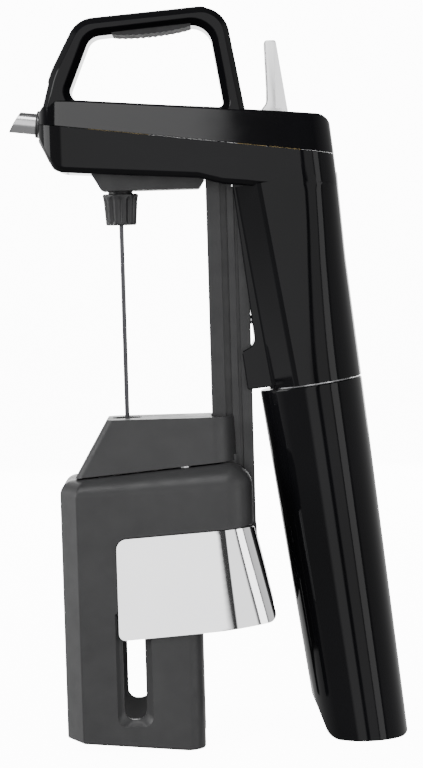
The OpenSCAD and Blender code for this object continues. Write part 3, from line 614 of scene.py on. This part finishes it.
def build_spine():
    """The soft-touch strip over the front and top of the loop, and a band down the nose whose soft grey is a
    painted highlight on its rounded underside.
    """
    outer = rounded(LOOP_OUTER, 14)
    top = [p for p in outer if p.y > 212.5 and p.x < 30.5]
    spine = strip("soft_spine", top, Vector((8, 222)), 6.6, 0.4)
    finished(spine, "housing", "soft_grey", SOFT, "loop_spine")
    # Painted highlight: the band down the nose is given the soft grey to stand in for the light its rounded
    # underside catches.
    nose = rounded([(-26.25, 201.2, 0), (-25.9, 200.6, 1), (-21.4, 191.6, 2.5), (-17.0, 189.9, 0)], 5)
    finished(strip("nose_highlight_band", nose, Vector((0, 205)), 5.2, 0.3), "housing", "soft_grey", SOFT)


def build_grip():
    """A lens-shaped pad of fine ribs under the top bar of the loop."""
    start, end, count = Vector((-1.0, 234.95)), Vector((25.0, 237.1)), 13
    way = (end - start).normalized()
    down = Vector((way.y, -way.x))
    edge = []
    for k in range(count * 6 + 1):
        t = k / (count * 6)
        lens = math.sin(math.pi * t) ** 0.6
        rib = 0.5 + 0.5 * math.cos(2 * math.pi * t * count)
        edge.append(start.lerp(end, t) + down * lens * (1.0 + 0.28 * rib))
    outline = [start - down * 0.7] + edge + [end - down * 0.7]
    pad = loft("ribbed_grip", [[point(p.x, y, p.y) for p in outline] for y in (-7.4, 7.4)])
    finished(pad, "housing", "grip_rubber", GRIP, "finger_grip")


# ---- spout, needle and trigger ---------------------------------------------------

SPOUT_START = (-26.2, 0, 206.6)
SPOUT_RISE = math.radians(7)
SPOUT_R = 3.5
SPOUT_BORE_R = 2.75
FERRULE_R = 4.5


def spout_point(radius, angle, out):
    """A point round the spout's axis, out along it."""
    up = Vector((math.sin(SPOUT_RISE), 0, math.cos(SPOUT_RISE)))
    way = Vector((-math.cos(SPOUT_RISE), 0, math.sin(SPOUT_RISE)))
    at = Vector(SPOUT_START) + way * out
    at += up * radius * math.cos(angle) + Vector((0, 1, 0)) * radius * math.sin(angle)
    return point(at.x, at.y, at.z)


def turned(place, profile, count=64):
    """Closed rings of a turned part, from (radius, height) pairs and a placer that sets its axis."""
    return [[place(r, 2 * math.pi * k / count, h) for k in range(count)] for r, h in profile]


def spout_solid(name, radius, start, end):
    """A round bar on the spout's axis."""
    return loft(name, turned(spout_point, [(radius, start), (radius, end)]))


def build_spout():
    """An open tube with a slanted end, in a dark collar."""
    tube = spout_solid("spout", SPOUT_R, -9, 13)
    combine(tube, spout_solid("spout_bore", SPOUT_BORE_R, -10, 14), "DIFFERENCE")
    tip = loft("spout_cut", [[point(x, y, z) for x, z in
               ((-31.4, 212.1), (-37.3, 202.7), (-60, 200), (-60, 215))] for y in (-10, 10)])
    combine(tube, tip, "DIFFERENCE")
    bevelled(tube, 0.18, 2, 40)
    weighted(tube)
    finished(tube, "housing", "steel", STEEL, "spout_tube")
    collar = loft("spout_collar", turned(spout_point, [
        (SPOUT_R + 0.05, -4), (FERRULE_R, -4), (FERRULE_R, 0.7), (4.3, 0.95), (3.9, 1.05), (3.52, 1.05)]))
    finished(collar, "housing", "graphite", GRAPHITE, "spout_ferrule")


def upright(x, y):
    """A placer for turned() about a vertical axis through (x, y)."""
    def place(radius, angle, height):
        return point(x + radius * math.cos(angle), y + radius * math.sin(angle), height)
    return place


def build_needle_nut():
    """A short tapered nut with scalloped flutes and a plain lip at each end."""
    flutes = 12
    count = 12 * flutes
    flute_depth = 0.62
    profile = [(0.8, 172.5, 0), (4.6, 172.5, 0), (5.05, 172.75, 0), (5.18, 173.2, 0.3), (5.25, 174.0, 1),
               (5.75, 180.6, 1), (5.9, 181.5, 0.4), (5.97, 182.1, 0), (5.9, 182.6, 0), (5.6, 182.9, 0),
               (4.1, 182.92, 0), (4.05, 183.75, 0), (0.8, 183.75, 0)]
    rings = []
    for radius, height, depth in profile:
        ring = []
        for k in range(count):
            angle = 2 * math.pi * k / count
            wave = 0.5 + 0.5 * math.cos(angle * flutes)
            hollow = 1 - math.sqrt(max(0.0, 1 - wave ** 2.2)) * 0.6 - 0.4 * (1 - wave)
            r = radius - flute_depth * depth * hollow
            ring.append(point(r * math.cos(angle), r * math.sin(angle), height))
        rings.append(ring)
    nut = loft("fluted_nut", rings)
    weighted(nut)
    finished(nut, "needle", "graphite", GRAPHITE, "needle_nut")


PIVOT = (53, 202.5)
PIVOT_R = 1.56


def build_trigger():
    """A faceted thumb lever: a thin blade that widens into its root."""
    outline = rounded([
        (47.2, 208.9, 0.6), (49.2, 211.4, 3), (49.3, 216, 8), (48.9, 231.9, 0.9), (52.8, 231.9, 0.9),
        (56.2, 208.6, 1), (56.9, 202.5, 3.3), (53, 198.7, 3.3), (49.6, 201.6, 1), (49.4, 203.8, 0.4),
        (44, 203.8, 0.8), (44, 206.3, 0.8), (47.4, 206.6, 0.5)
    ], 5)
    blade = slab("thumb_lever", outline, 3.95, 0.55)
    for side in (-1, 1):
        plan = ((47.5, side * 5), (60, side * 5), (60, side * 2.2))
        wedge = loft(f"facet_{side}", [[point(x, y, z) for x, y in plan] for z in (209.5, 240)])
        combine(blade, wedge, "DIFFERENCE")
    angles = [2 * math.pi * k / 32 for k in range(32)]
    hole = [[point(PIVOT[0] + PIVOT_R * math.cos(a), y, PIVOT[1] + PIVOT_R * math.sin(a)) for a in angles]
            for y in (-9, 9)]
    combine(blade, loft("pivot_hole", hole), "DIFFERENCE")
    bevelled(blade, 0.3, 2, 30)
    weighted(blade)
    finished(blade, "trigger", "satin_silver", SATIN, "trigger")


# ---- capsule cup -----------------------------------------------------------------

COLLAR_ROOM_R = 13.8
CAPSULE_ROOM_R = 11.4


def about_handle(radius, angle, height):
    """A placer for turned() about the handle's own axis."""
    return handle_point(radius * math.cos(angle), radius * math.sin(angle), height)


def build_cup():
    """The lower handle: a slim cone with a slanted, rounded foot."""
    profile = [(13.9, -0.35), (16.6, -0.35), (16.95, -0.5), (SEAM_R, -0.9)]
    profile += [(lerp(17.06, 14.75, t), lerp(-2, -127, t)) for t in (k / 12 for k in range(13))]
    cup = loft("cup_shell", turned(about_handle, profile, 96))
    keep = slab("cup_keep", rounded([
        (40, 130, 0), (40, 60, 0), (60.6, 10.4, 9), (64.4, 0.3, 5), (73, 0, 10), (92.0, 0, 4.5),
        (100, 60, 0), (100, 130, 0)], 8), 30, 0.5)
    combine(cup, keep, "INTERSECT")
    hollow = loft("cup_hollow", turned(about_handle, [
        (COLLAR_ROOM_R, 2), (COLLAR_ROOM_R, -15), (CAPSULE_ROOM_R, -15.1), (CAPSULE_ROOM_R, -104)], 64))
    combine(cup, hollow, "DIFFERENCE")
    bevelled(cup, 0.8, 3, 30)
    weighted(cup)
    finished(cup, "cup", "gloss_black", BLACK, "capsule_cup")


# ---- clamp -----------------------------------------------------------------------

CLAMP_HALF = 21.5
JAW_FRONT = -22.4
JAW_WALL = 3
LEG_BACK = 23.2
BAND_BACK = 41.0
BAND_R = 9
TOP_R = 8.5
# The rounded top of a jaw is this much tighter at its front.
FRONT_SHARE = 0.5
# Each jaw turns on a pin here.
PIN_AT = (19, 11.5)
# The squeeze plate lies this far out, and its bend starts with a crease of so many degrees.
PADDLE_OUT = 22.3
CREASE = 14
HEAD_TOP = 108.5
HEAD_BACK = 35.9


def shoulder_z(x):
    """The slanted line where the guide head sits on the jaws."""
    return 90.2 + (x + 12) * 0.0854


def foot_z(x):
    """The foot of a jaw, which rises a little towards the front."""
    return max(0.0, 3.1 * (12 - x) / 29) if x < 12 else 0.0


def jaw_ring(back, back_r, thin, pulled):
    """The plan of one jaw on the +y side, closed along the middle plane."""
    front, side = JAW_FRONT + thin + pulled * FRONT_SHARE, CLAMP_HALF - thin - pulled
    return rounded([
        (front, 0.4, 0), (front, 13.6 - 0.4 * (thin + pulled), 0.8),
        (-16.8 + 0.4 * (thin + pulled), side, 0.8), (back - thin - pulled, side, back_r),
        (back - thin - pulled, 0.4, 0)], 6)


def band_foot(x):
    """The lower edge of the band that runs on behind the legs."""
    return 70.3 + x * 0.0655


def jaw_stack(name, levels):
    """A jaw from rings of (height(x), back, back radius, wall inset, pull of the rounded top)."""
    rings = [[point(p.x, p.y, height(p.x)) for p in jaw_ring(back, back_r, thin, pulled)]
             for height, back, back_r, thin, pulled in levels]
    return cleaned(loft(name, rings))


def top_share(x):
    """The rounded top is tighter at the front of a jaw."""
    return lerp(FRONT_SHARE, 1.0, smooth_step((x - JAW_FRONT) / 16))


def shoulder_levels(back, back_r, thin, radius, drop):
    """Rings that round the top of a jaw over its slanted shoulder."""
    levels = []
    for k in range(9):
        a = math.pi / 2 * k / 8
        rise = radius * (1 - math.sin(a))
        pulled = radius * (1 - math.cos(a))
        levels.append((lambda x, r=rise: shoulder_z(x) - drop - r * top_share(x),
                       back, max(0.5, back_r - pulled), thin, pulled))
    return levels


def window_cutter(name):
    """The slot with its slanted frame: wide at the outside, narrow within."""
    levels = [(11.7, 8.3, 22.5), (11.7, 8.3, 21.45), (9.4, 9.4, 20.2), (7.3, 10.5, 19.6), (7.1, 10.7, 16.0)]
    rings = []
    for width, low, y in levels:
        outline = rounded([(0.5 - width / 2, low, 3.2), (0.5 + width / 2, low, 3.2),
                           (0.5 + width / 2, 46, 1), (0.5 - width / 2, 46, 1)], 8)
        rings.append([point(p.x, y, p.y) for p in outline])
    return loft(name, rings)


def paddle_outline(grow=0.0):
    """The side outline of the squeeze plate, grown all round."""
    corners = [(-4.1, 36.9, 2.2), (30, 39.2, 60), (48.0, 41.4, 2.5), (41.2, 72.8, 1.5), (-4.1, 70.1, 3.4)]
    return inset(rounded(corners, 8), -grow)


def paddle_body(name, grow=0.0, thick=2.0):
    """The curved squeeze plate: flat over the jaw, then bent round towards the back."""
    bend = 27.0
    tail = 14.2
    steps = 20
    rows = []
    for k in range(17):
        z = lerp(34, 76, k / 16)
        reach = lerp(21.4, 14.0, (z - 41) / 32)
        reach = max(12.0, min(23.0, reach))
        outside = []
        inside = []
        deep = PADDLE_OUT - tail
        for i in range(steps + 1):
            a = math.radians(lerp(CREASE if i else 0, 88, i / steps))
            outside.append((bend + (reach + grow) * math.sin(a), tail + (deep + grow) * math.cos(a)))
            inside.append((bend + (reach - thick) * math.sin(a), tail + (deep - thick) * math.cos(a)))
        plan = [(-8, PADDLE_OUT + grow)] + outside + inside[::-1] + [(-8, PADDLE_OUT - thick)]
        rows.append([point(x, y, z) for x, y in plan])
    body = loft(name, rows)
    clip = loft(name + "_clip", [[point(p.x, y, p.y) for p in paddle_outline(grow)] for y in (5, 30)])
    return combine(body, clip, "INTERSECT")


def jaw_half():
    """One hollow jaw: its leg, the band behind, its window, its paddle's recess and its pin's lug."""
    legs = jaw_stack("jaw", [
        (foot_z, LEG_BACK, 5, 0.8, 0), (lambda x: foot_z(x) + 0.25, LEG_BACK, 5, 0.25, 0),
        (lambda x: foot_z(x) + 0.8, LEG_BACK, 5, 0, 0), (band_foot, LEG_BACK, 5, 0, 0),
        (band_foot, BAND_BACK - 0.8, BAND_R - 0.8, 0, 0),
        (lambda x: band_foot(x) + 0.8, BAND_BACK, BAND_R, 0, 0),
        *shoulder_levels(BAND_BACK, BAND_R, 0, TOP_R, 0.5)])
    hollow = jaw_stack("hollow", [
        (lambda x: -3, LEG_BACK, 3, JAW_WALL, 0), *shoulder_levels(LEG_BACK, 3, JAW_WALL, 6, 3.5)])
    combine(legs, hollow, "DIFFERENCE")
    band_plan = ((23.4, -1), (39, -1), (39, 13.5), (36.5, 17), (32, 18.6), (23.4, 18.6))
    band_room = loft("band_room", [[point(x, y, z) for x, y in band_plan] for z in (60, 86.5)])
    combine(legs, band_room, "DIFFERENCE")
    combine(legs, box_solid("rail_room", (19.2, -1, -1), (60, 10.6, 120)), "DIFFERENCE")
    combine(legs, box_solid("tail_room", (31, -1, 60), (60, 13, 120)), "DIFFERENCE")
    combine(legs, loft("needle_room", turned(upright(0, 0), [(5, -1), (5, 120)], 48)), "DIFFERENCE")
    combine(legs, window_cutter("window"), "DIFFERENCE")
    combine(legs, paddle_body("recess", 0.25, 2.3), "DIFFERENCE")
    pin_x, pin_y = PIN_AT
    lug = loft("lug", turned(upright(*PIN_AT), [(3.8, 62), (3.8, 88)], 48))
    combine(lug, box_solid("web", (pin_x - 2, pin_y, 62), (pin_x + 2, pin_y + 8, 88)), "UNION")
    combine(legs, lug, "UNION")
    combine(legs, loft("pin_bore", turned(upright(*PIN_AT), [(2.05, 50), (2.05, 100)], 48)), "DIFFERENCE")
    return legs


def build_jaws():
    """Both jaws and both plates: each left one is its right one mirrored."""
    right = jaw_half()
    bevelled(right, 0.4, 2, 40)
    left = mirrored(right, "jaw_left_shell")
    right.name = "jaw_right_shell"
    plate = paddle_body("paddle_right_plate")
    bevelled(plate, 0.3, 3, 40)
    plate_left = mirrored(plate, "paddle_left_plate")
    for obj in (right, left, plate, plate_left):
        weighted(obj)
    finished(right, "jaw_right", "clamp_grey", CLAMP, "jaw_right")
    finished(left, "jaw_left", "clamp_grey", CLAMP, "jaw_left")
    finished(plate, "jaw_right", "chrome", CHROME, "paddle_right")
    finished(plate_left, "jaw_left", "chrome", CHROME, "paddle_left")


def build_head():
    """The guide head: a wedge-nosed block with a channel for the rail."""
    rings = []
    for front, half, height in ((-17.4, 14.4, shoulder_z), (-6.6, 11.6, lambda x: HEAD_TOP)):
        plan = rounded([(front, -half, 3), (HEAD_BACK, -half, 8), (HEAD_BACK, half, 8), (front, half, 3)], 8)
        rings.append([point(p.x, p.y, height(p.x)) for p in plan])
    head = loft("guide_head_block", rings)
    carriage_foot = 72.5
    combine(head, box_solid("carriage", (23.6, -9.5, carriage_foot), (HEAD_BACK, 9.5, 96)), "UNION")
    combine(head, box_solid("channel", (28, -6.3, 60), (50, 6.3, 120)), "DIFFERENCE")
    bush_room = loft("bush_room", turned(upright(0, 0), [(3.6, 80), (3.6, 107.4), (5, 107.4), (5, 120)], 48))
    combine(head, bush_room, "DIFFERENCE")
    pin_x, pin_y = PIN_AT
    for side, tongue_from, tongue_to in ((-1, -6.6, -5.0), (1, 5.0, 6.6)):
        pin_room = loft("pin_room", turned(upright(pin_x, side * pin_y), [(2, 80), (2, 96)], 32))
        combine(head, pin_room, "DIFFERENCE")
        tongue = box_solid("tongue", (33.2, tongue_from, carriage_foot), (34.8, tongue_to, 108))
        combine(head, tongue, "UNION")
    bevelled(head, 0.9, 3, 35)
    weighted(head)
    finished(head, "carriage", "clamp_grey", CLAMP, "guide_head")


# ---- studio ----------------------------------------------------------------------

def area_light(name, place, aim, size, power):
    """A soft rectangular light of so many watts that faces a point."""
    light = bpy.data.lights.new(name, "AREA")
    light.shape = "RECTANGLE"
    light.size, light.size_y = size
    light.energy = power
    obj = bpy.data.objects.new(name, light)
    obj.location = place
    obj.rotation_euler = (Vector(aim) - Vector(place)).to_track_quat("-Z", "Y").to_euler()
    bpy.context.scene.collection.objects.link(obj)


def build_studio():
    """A white floor that curves up far behind, and four soft lights."""
    rings = [(1.6, 0.0), (1.9, 0.03), (2.15, 0.14), (2.3, 0.32), (2.36, 0.62)]
    count = 96
    angles = [2 * math.pi * k / count for k in range(count)]
    bm = bmesh.new()
    centre = bm.verts.new((0, 0, 0))
    rows = [[bm.verts.new((r * math.cos(a), r * math.sin(a), z)) for a in angles] for r, z in rings]
    for k in range(count):
        m = (k + 1) % count
        bm.faces.new((centre, rows[0][k], rows[0][m]))
        for low, high in zip(rows, rows[1:]):
            bm.faces.new((low[k], low[m], high[m], high[k]))
    floor = to_object("floor", bm)
    f = Finish("floor", (0.9, 0.9, 0.9), 0.7)
    f.vary_colour(f.noise(3), (0.89, 0.89, 0.89), (0.91, 0.91, 0.91))
    f.set(Emission_Color=(1, 1, 1, 1), Emission_Strength=12)
    floor.data.materials.append(f.material)
    # The object is lit by the room and the lights alone, not by the glow of the floor.
    floor.visible_glossy = False
    floor.visible_diffuse = False
    middle = (0.0, 0.0, 0.12)
    area_light("key", (-0.85, -0.25, 0.4), middle, (0.5, 0.5), 7)
    area_light("side_strip", (0.70, -0.56, 0.2), middle, (0.25, 0.9), 2.8)
    area_light("top", (-0.185, -0.45, 0.95), (-0.185, 0.0, 0.22), (0.53, 0.35), 5)
    area_light("back", (0.1, 0.9, 0.35), middle, (0.9, 0.6), 6)
    build_world()


# How bright the room is round the object: (degrees from the -y side towards +x, strength).
ROOM = [(-180, 1.2), (-112, 1.6), (-90, 1.2), (-68, 0.6), (-18, 0.6), (-12, 2.6), (6, 2.6), (8, 0.06),
        (14.5, 0.06), (17, 2.0), (38, 2.0), (41, 0.1), (60, 0.1), (66, 0.8), (118, 1.0), (180, 1.2)]
# How bright it is overhead and underfoot.
OVERHEAD = 0.15
GROUND = 0.45


def build_world():
    """A studio of soft white panels with dark gaps, so that gloss and chrome have something to show."""
    world = bpy.data.worlds.new("studio")
    bpy.context.scene.world = world
    world.use_nodes = True
    nodes, links = world.node_tree.nodes, world.node_tree.links
    shade = nodes["Background"]
    shade.inputs["Color"].default_value = (1, 1, 1, 1)

    def fade(value, low, high):
        """A soft step from 0 at low to 1 at high."""
        ranged = nodes.new("ShaderNodeMapRange")
        ranged.interpolation_type = "SMOOTHSTEP"
        ranged.inputs["From Min"].default_value = low
        ranged.inputs["From Max"].default_value = high
        links.new(value, ranged.inputs["Value"])
        return ranged.outputs["Result"]

    def blend(factor, value, other):
        """A value that goes over to a plain number as the factor rises."""
        mix = nodes.new("ShaderNodeMix")
        links.new(factor, mix.inputs[0])
        links.new(value, mix.inputs[2])
        mix.inputs[3].default_value = other
        return mix.outputs[0]

    # The direction looked in, as an angle round the object, sets the strength.
    axes = nodes.new("ShaderNodeSeparateXYZ")
    links.new(nodes.new("ShaderNodeTexCoord").outputs["Generated"], axes.inputs["Vector"])
    toward = nodes.new("ShaderNodeMath")
    toward.operation = "MULTIPLY"
    toward.inputs[1].default_value = -1
    links.new(axes.outputs["Y"], toward.inputs[0])
    round_angle = nodes.new("ShaderNodeMath")
    round_angle.operation = "ARCTAN2"
    links.new(axes.outputs["X"], round_angle.inputs[0])
    links.new(toward.outputs["Value"], round_angle.inputs[1])
    turn = nodes.new("ShaderNodeMapRange")
    turn.inputs["From Min"].default_value = -math.pi
    turn.inputs["From Max"].default_value = math.pi
    links.new(round_angle.outputs["Value"], turn.inputs["Value"])
    ramp = nodes.new("ShaderNodeValToRGB")
    links.new(turn.outputs["Result"], ramp.inputs["Fac"])
    stops = ramp.color_ramp.elements
    stops.remove(stops[1])
    for angle, strength in ROOM:
        stop = stops.new((angle + 180) / 360) if angle > -180 else stops[0]
        stop.color = (strength, strength, strength, 1)
    room = blend(fade(axes.outputs["Z"], 0.35, 0.7), ramp.outputs["Color"], OVERHEAD)
    room = blend(fade(axes.outputs["Z"], -0.25, -0.5), room, GROUND)
    links.new(room, shade.inputs["Strength"])


CAMERA_AT = (0.0009, -0.783, 0.164)
CAMERA_LENS = 110.2
CAMERA_PITCH = math.radians(-3.3)
CAMERA_ROLL = math.radians(-1.67)


def build_camera():
    """A long lens square to the side, a little above the middle and slightly rolled."""
    data = bpy.data.cameras.new("camera")
    data.lens = CAMERA_LENS
    camera = bpy.data.objects.new("camera", data)
    bpy.context.scene.collection.objects.link(camera)
    camera.location = CAMERA_AT
    level = Euler((math.pi / 2 + CAMERA_PITCH, 0, 0)).to_matrix()
    camera.rotation_euler = (level @ Euler((0, 0, CAMERA_ROLL)).to_matrix()).to_euler()
    bpy.context.scene.camera = camera


dress_cad_nodes()
build_camera()
build_shells()
build_spine()
build_grip()
build_spout()
build_needle_nut()
build_trigger()
build_cup()
build_jaws()
build_head()
build_studio()
